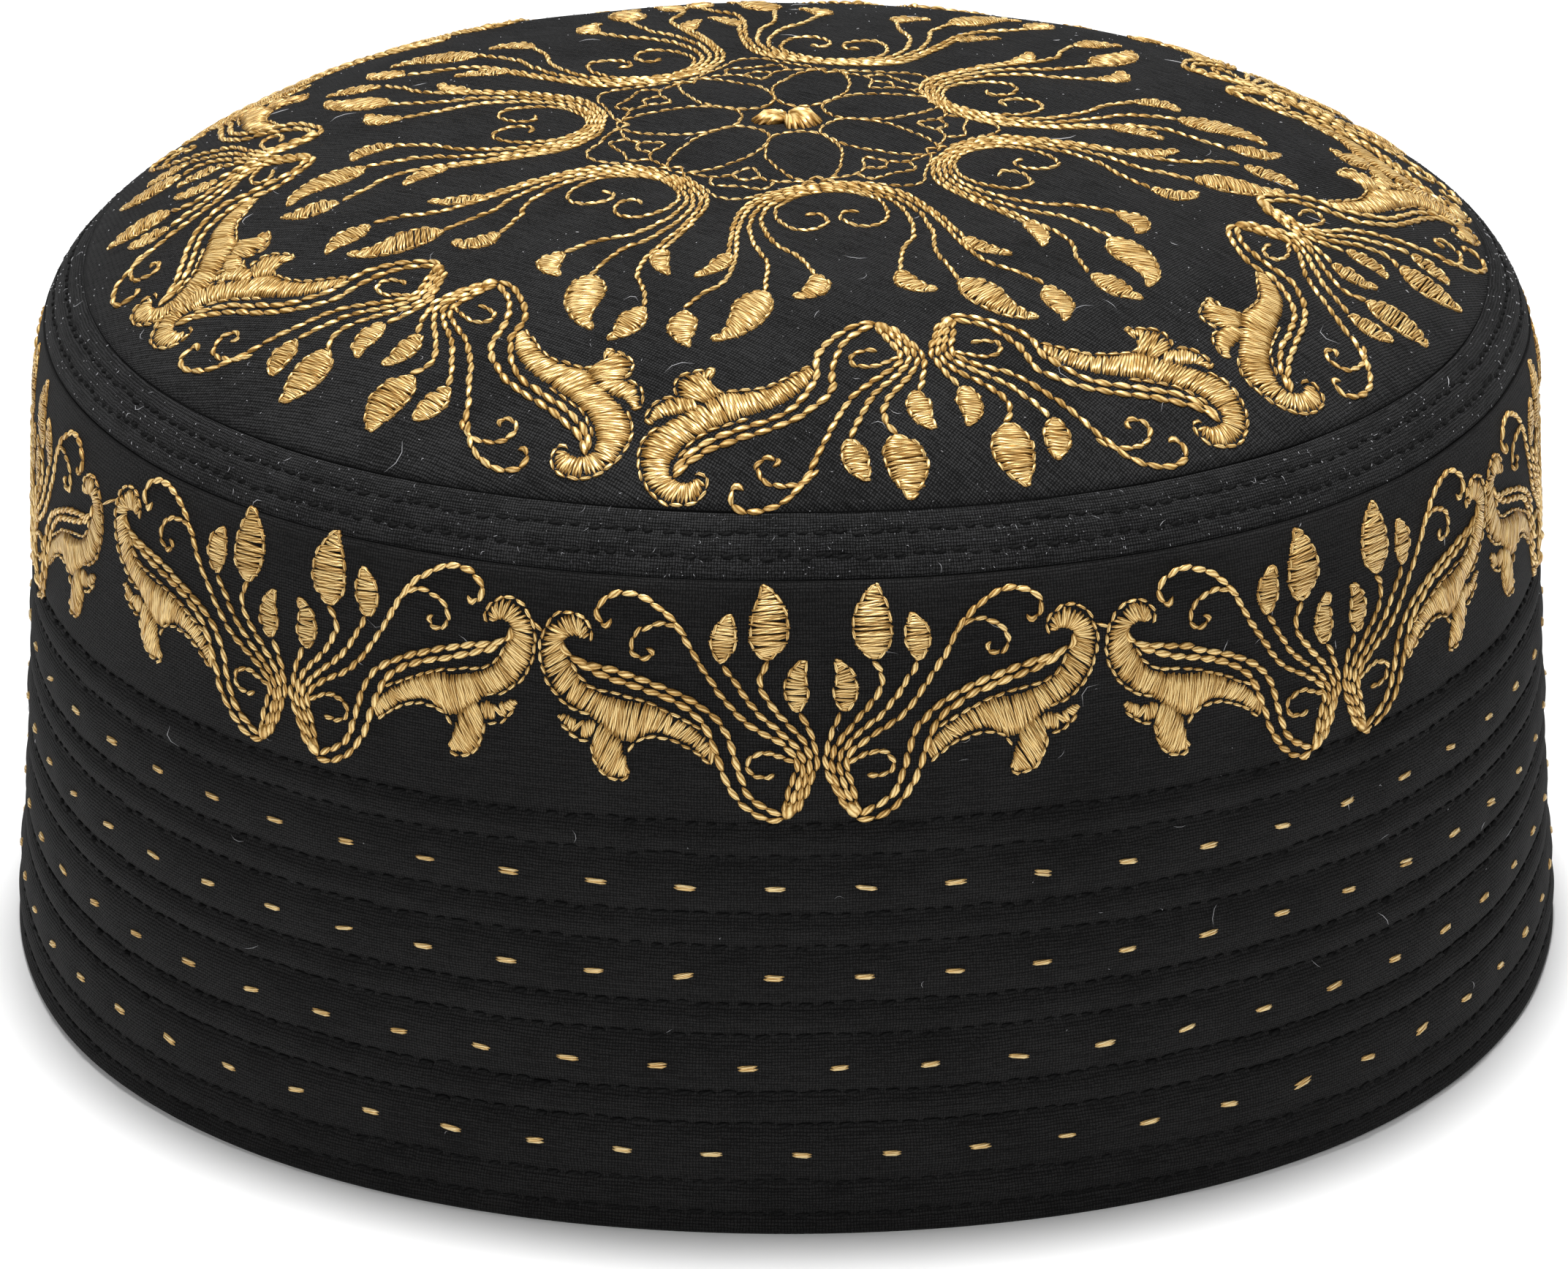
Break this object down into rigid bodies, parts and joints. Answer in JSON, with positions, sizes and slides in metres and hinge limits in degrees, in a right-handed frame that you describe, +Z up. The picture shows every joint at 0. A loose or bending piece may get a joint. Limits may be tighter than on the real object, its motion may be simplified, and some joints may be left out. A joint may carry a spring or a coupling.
{
  "type": "skullcap",
  "caption": "Stiff round flat-topped cloth cap, with a quilted band, a bevelled shoulder strip and a low domed crown worked in gold thread.",
  "frame": {"origin": "middle of the rim, on the surface that the cap stands on", "axes": "+Z up through the middle of the crown, -Y to the front of the cap, +X to the wearer's left"},
  "size_m": [0.1938, 0.1938, 0.1053],
  "materials": {
    "band_cloth": "matte",
    "strip_cloth": "matte",
    "crown_cloth": "matte",
    "gold_thread": "satin"
  },
  "bodies": {
    "root": {"side_band": "band_cloth", "shoulder_strip": "strip_cloth", "crown_top": "crown_cloth", "centre_knot": "gold_thread"}
  },
  "joints": []
}
